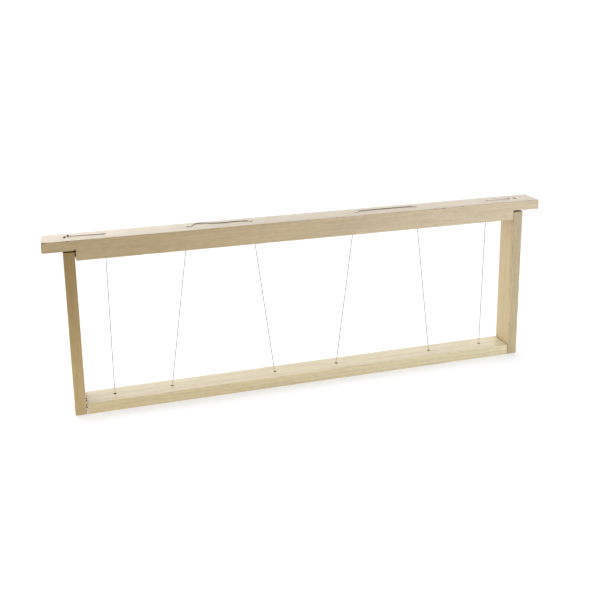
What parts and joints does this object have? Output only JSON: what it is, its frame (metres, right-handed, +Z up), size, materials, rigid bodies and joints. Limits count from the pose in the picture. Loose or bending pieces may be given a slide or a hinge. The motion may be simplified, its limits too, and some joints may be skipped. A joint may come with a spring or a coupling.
{
  "type": "wired beehive frame",
  "caption": "Wooden beehive super frame: lugged top bar, straight side bars, bottom bar and a zigzag of tight comb wire.",
  "frame": {"origin": "under the middle of the frame, on the plane that the bottom bar and the side bars stand on", "axes": "+X along the top bar towards its right lug, +Y from the front face to the back face, +Z up"},
  "size_m": [0.482, 0.026, 0.1656],
  "materials": {
    "top_bar_wood": "planed, unfinished",
    "side_bar_wood": "planed, unfinished",
    "bottom_bar_wood": "planed, unfinished",
    "wire_steel": "drawn",
    "staple_steel": "galvanised",
    "tack_steel": "galvanised"
  },
  "bodies": {
    "root": {"top_bar": "top_bar_wood", "bottom_bar": "bottom_bar_wood", "side_bar_left": "side_bar_wood", "side_bar_right": "side_bar_wood", "lug_staple_left": "staple_steel", "shoulder_staple_left": "staple_steel", "bottom_staple_left_1": "staple_steel", "bottom_staple_left_2": "staple_steel", "lug_staple_right": "staple_steel", "shoulder_staple_right": "staple_steel", "bottom_staple_right_1": "staple_steel", "bottom_staple_right_2": "staple_steel", "frame_wire": "wire_steel", "wire_tack_left": "tack_steel", "wire_tack_right": "tack_steel"}
  },
  "joints": []
}
